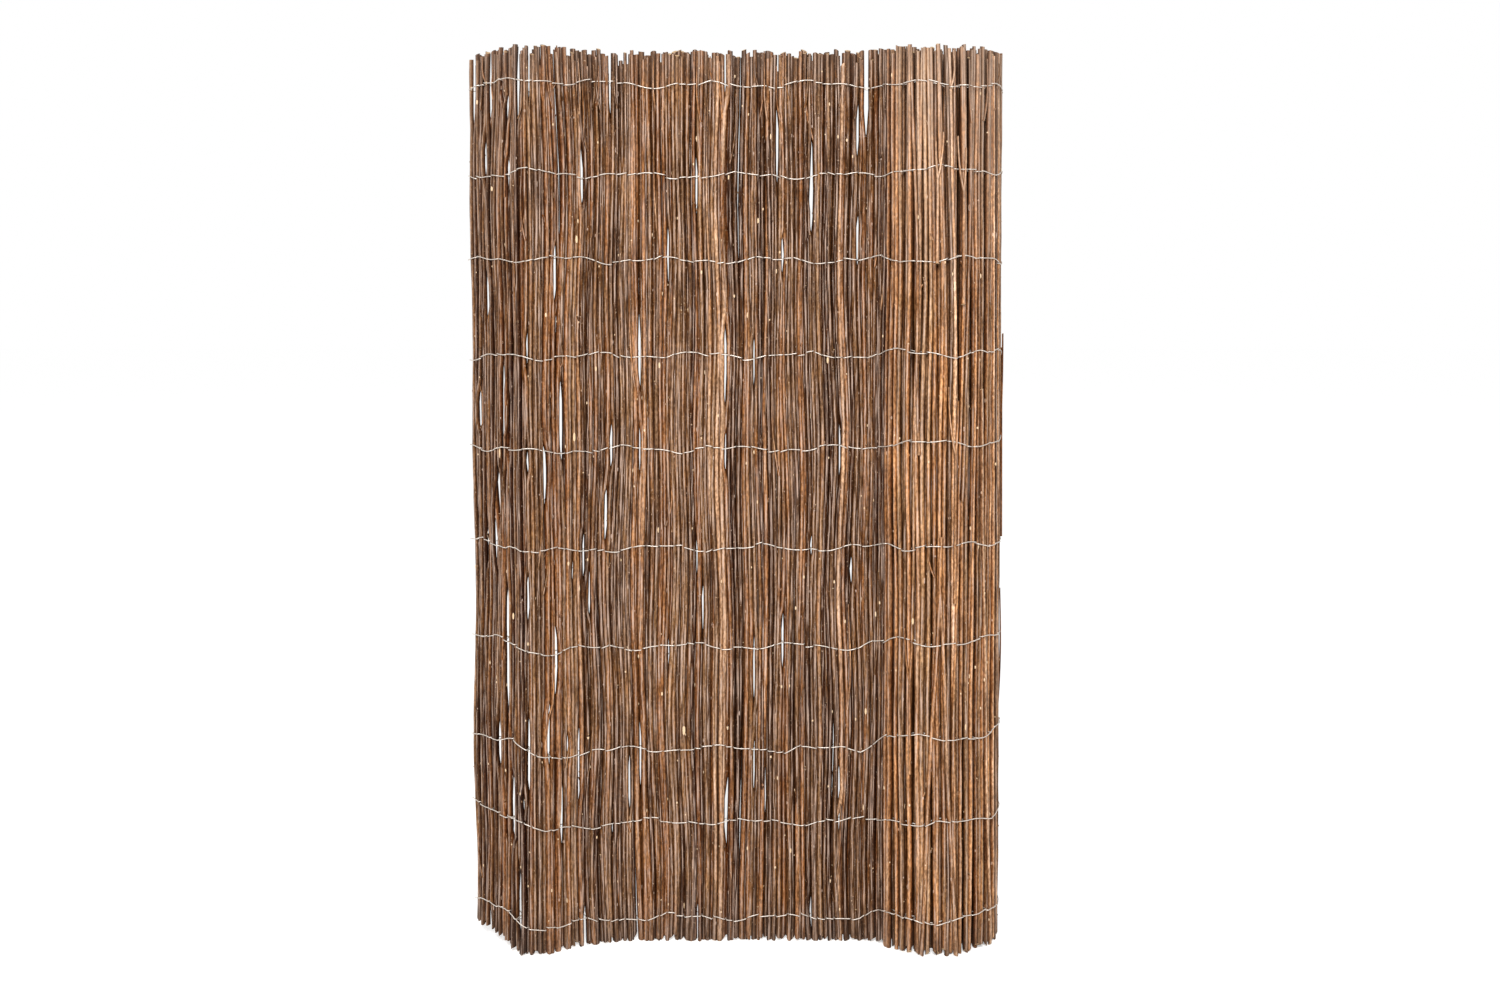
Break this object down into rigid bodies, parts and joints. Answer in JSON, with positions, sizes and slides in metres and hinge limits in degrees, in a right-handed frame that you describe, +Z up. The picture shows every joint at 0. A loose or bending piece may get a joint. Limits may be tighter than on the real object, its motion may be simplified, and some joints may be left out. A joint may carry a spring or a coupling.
{
  "type": "willow fence",
  "caption": "Screen of upright willow rods bound by rows of woven wire, standing on end with its free end unrolled and folded back and the rest still in a roll.",
  "frame": {"origin": "middle of the bounding box in plan, on the floor under the rods' lower ends", "axes": "+Z up along the rods, +X from the free end towards the roll, +Y from the front to the back"},
  "size_m": [0.5964, 0.154, 0.9978],
  "materials": {
    "willow": "matte bark",
    "wire": "galvanised"
  },
  "bodies": {
    "root": {"binding_wire_01_lower": "wire", "binding_wire_01_upper": "wire", "binding_wire_02_lower": "wire", "binding_wire_02_upper": "wire", "binding_wire_03_lower": "wire", "binding_wire_03_upper": "wire", "binding_wire_04_lower": "wire", "binding_wire_04_upper": "wire", "binding_wire_05_lower": "wire", "binding_wire_05_upper": "wire", "binding_wire_06_lower": "wire", "binding_wire_06_upper": "wire", "binding_wire_07_lower": "wire", "binding_wire_07_upper": "wire", "binding_wire_08_lower": "wire", "binding_wire_08_upper": "wire", "binding_wire_09_lower": "wire", "binding_wire_09_upper": "wire", "binding_wire_10_lower": "wire", "binding_wire_10_upper": "wire", "open_mat": "willow", "roll": "willow"}
  },
  "joints": []
}
